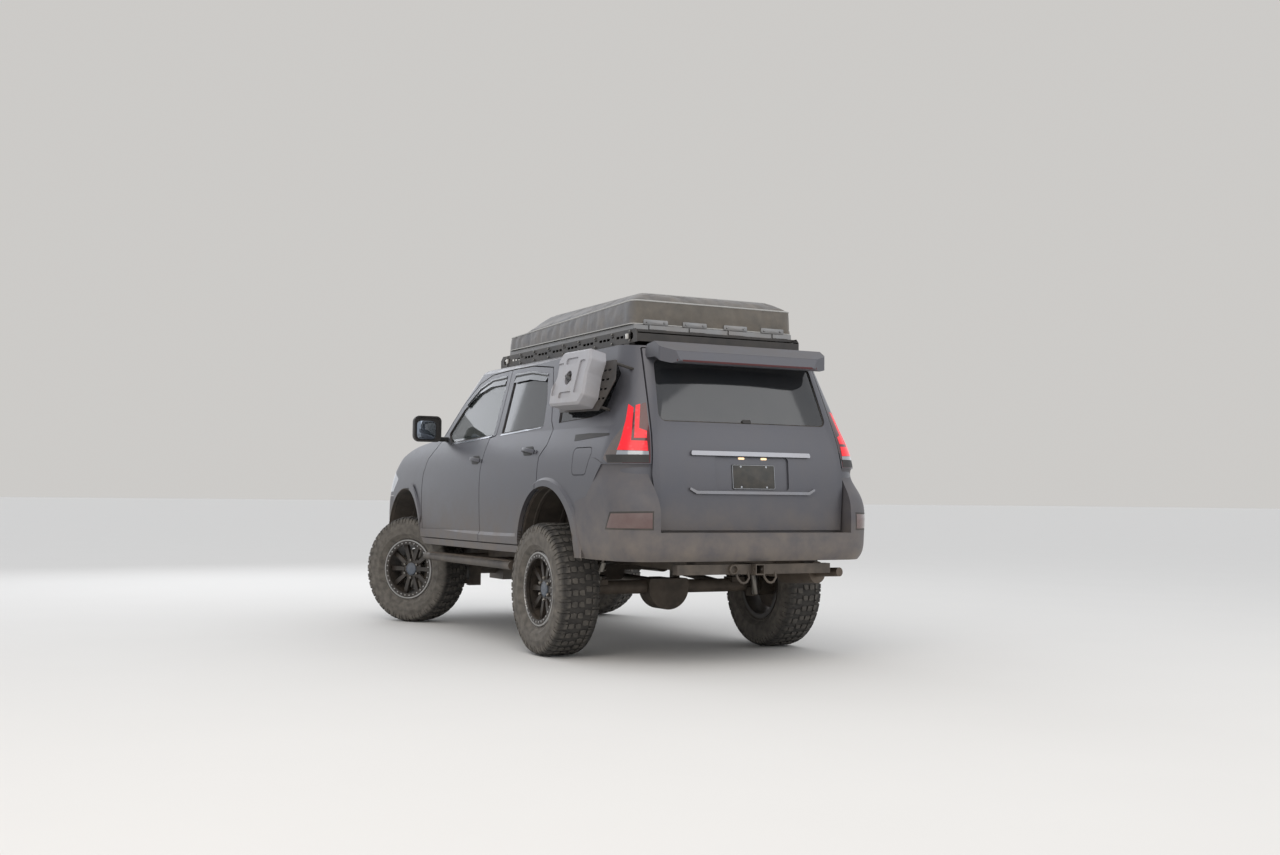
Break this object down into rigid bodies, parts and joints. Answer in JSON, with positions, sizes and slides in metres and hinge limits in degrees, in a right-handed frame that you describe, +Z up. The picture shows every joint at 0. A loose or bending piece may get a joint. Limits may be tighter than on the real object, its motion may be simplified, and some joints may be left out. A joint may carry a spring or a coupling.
{
  "type": "lifted off-road 4x4",
  "caption": "Lifted five-door off-road 4x4 with opening doors, bonnet and tailgate, steered wheels, slotted roof rack, covered roof tent and a flat fuel can on a side panel.",
  "frame": {"origin": "middle of the footprint, on the ground under the wheels", "axes": "+X forward along the vehicle, +Y to its left, +Z up"},
  "size_m": [4.8851, 2.2714, 2.296],
  "materials": {
    "body_paint": "satin grey paint with dust",
    "bumper_paint": "satin grey painted plastic cover",
    "black_plastic": "moulded black plastic",
    "chrome_trim": "plated trim",
    "tinted_glass": "tinted glass",
    "lamp_red": "red lamp lens, lit",
    "lamp_clear": "clear lamp lens",
    "chassis_black": "black frame paint with dust",
    "cast_metal": "cast and forged parts",
    "exhaust_steel": "aged exhaust steel",
    "rim_black": "black wheel paint",
    "tyre_rubber": "dusty tyre rubber",
    "rack_black": "black powder coat",
    "tent_aluminium": "mill aluminium",
    "cover_fabric": "grey coated travel cover",
    "can_plastic": "light grey moulded polyethylene",
    "seat_leather": "dark grained leather",
    "dash_plastic": "soft dark dashboard",
    "fuel_tank_plastic": "black moulded tank"
  },
  "bodies": {
    "chassis": {"ladder_frame": "chassis_black", "floor_pan": "body_paint", "body_shell": "body_paint", "roof_panel": "body_paint", "front_wings": "body_paint", "front_bumper": "bumper_paint", "rear_bumper": "bumper_paint", "grille": "black_plastic", "headlamps": "lamp_clear", "tail_lamps": "lamp_red", "windscreen": "tinted_glass", "quarter_windows": "tinted_glass", "engine_block": "cast_metal", "driveline": "cast_metal", "exhaust": "exhaust_steel", "fuel_tank": "fuel_tank_plastic", "side_steps": "rack_black", "suspension_arms": "chassis_black", "springs_and_dampers": "chassis_black", "rear_axle": "chassis_black", "hitch_receiver": "chassis_black", "roof_rack": "rack_black", "tent_base": "tent_aluminium", "tent_cover": "cover_fabric", "can_panel": "rack_black", "fuel_can": "can_plastic", "front_seats": "seat_leather", "rear_seat": "seat_leather", "dashboard": "dash_plastic", "steering_wheel": "dash_plastic"},
    "bonnet": {"bonnet": "body_paint"},
    "tailgate": {"tailgate": "body_paint", "tailgate_window": "tinted_glass", "tailgate_bars": "chrome_trim", "spoiler": "body_paint"},
    "fuel_flap": {"fuel_flap": "body_paint"},
    "front_door_left": {"front_door_left": "body_paint", "front_door_frame_left": "body_paint", "front_door_glass_left": "tinted_glass", "mirror_left": "black_plastic"},
    "front_door_right": {"front_door_right": "body_paint", "front_door_frame_right": "body_paint", "front_door_glass_right": "tinted_glass", "mirror_right": "black_plastic"},
    "rear_door_left": {"rear_door_left": "body_paint", "rear_door_frame_left": "body_paint", "rear_door_glass_left": "tinted_glass"},
    "rear_door_right": {"rear_door_right": "body_paint", "rear_door_frame_right": "body_paint", "rear_door_glass_right": "tinted_glass"},
    "steer_left": {"knuckle_left": "cast_metal"},
    "steer_right": {"knuckle_right": "cast_metal"},
    "wheel_front_left": {"rim_front_left": "rim_black", "tyre_front_left": "tyre_rubber"},
    "wheel_front_right": {"rim_front_right": "rim_black", "tyre_front_right": "tyre_rubber"},
    "wheel_rear_left": {"rim_rear_left": "rim_black", "tyre_rear_left": "tyre_rubber"},
    "wheel_rear_right": {"rim_rear_right": "rim_black", "tyre_rear_right": "tyre_rubber"}
  },
  "joints": [
    {"name": "steer_left", "type": "hinge", "parent": "chassis", "child": "steer_left", "pos_m": [1.5105, 0.745, 0.4226], "axis": [0, 0, 1], "range_deg": [-66, 2]},
    {"name": "steer_right", "type": "hinge", "parent": "chassis", "child": "steer_right", "pos_m": [1.5105, -0.745, 0.4226], "axis": [0, 0, 1], "range_deg": [-66, 2]},
    {"name": "spin_front_left", "type": "hinge", "parent": "steer_left", "child": "wheel_front_left", "pos_m": [1.46652, 0.81539, 0.4226], "axis": [-0.5299, 0.848, 0], "continuous": true},
    {"name": "spin_front_right", "type": "hinge", "parent": "steer_right", "child": "wheel_front_right", "pos_m": [1.55448, -0.81539, 0.4226], "axis": [-0.5299, 0.848, 0], "continuous": true},
    {"name": "spin_rear_left", "type": "hinge", "parent": "chassis", "child": "wheel_rear_left", "pos_m": [-1.2795, 0.828, 0.4226], "axis": [0, 1, 0], "continuous": true},
    {"name": "spin_rear_right", "type": "hinge", "parent": "chassis", "child": "wheel_rear_right", "pos_m": [-1.2795, -0.828, 0.4226], "axis": [0, 1, 0], "continuous": true},
    {"name": "front_door_left", "type": "hinge", "parent": "chassis", "child": "front_door_left", "pos_m": [1.1265, 0.943, 1], "axis": [0, 0, -1], "range_deg": [0, 65]},
    {"name": "front_door_right", "type": "hinge", "parent": "chassis", "child": "front_door_right", "pos_m": [1.1265, -0.943, 1], "axis": [0, 0, 1], "range_deg": [0, 65]},
    {"name": "rear_door_left", "type": "hinge", "parent": "chassis", "child": "rear_door_left", "pos_m": [-0.2115, 0.943, 1], "axis": [0, 0, -1], "range_deg": [0, 65]},
    {"name": "rear_door_right", "type": "hinge", "parent": "chassis", "child": "rear_door_right", "pos_m": [-0.2115, -0.943, 1], "axis": [0, 0, 1], "range_deg": [0, 65]},
    {"name": "tailgate", "type": "hinge", "parent": "chassis", "child": "tailgate", "pos_m": [-2.3715, -0.684, 1.3], "axis": [0, 0, 1], "range_deg": [0, 90]},
    {"name": "bonnet", "type": "hinge", "parent": "chassis", "child": "bonnet", "pos_m": [1.0745, 0, 1.478], "axis": [0, -1, 0], "range_deg": [0, 50]},
    {"name": "fuel_flap", "type": "hinge", "parent": "chassis", "child": "fuel_flap", "pos_m": [-1.6915, 0.932, 1.23], "axis": [0, 0, -1], "range_deg": [0, 80]}
  ],
  "couplings": [
    {"joint": "steer_right", "follows": "steer_left", "ratio": 1}
  ]
}
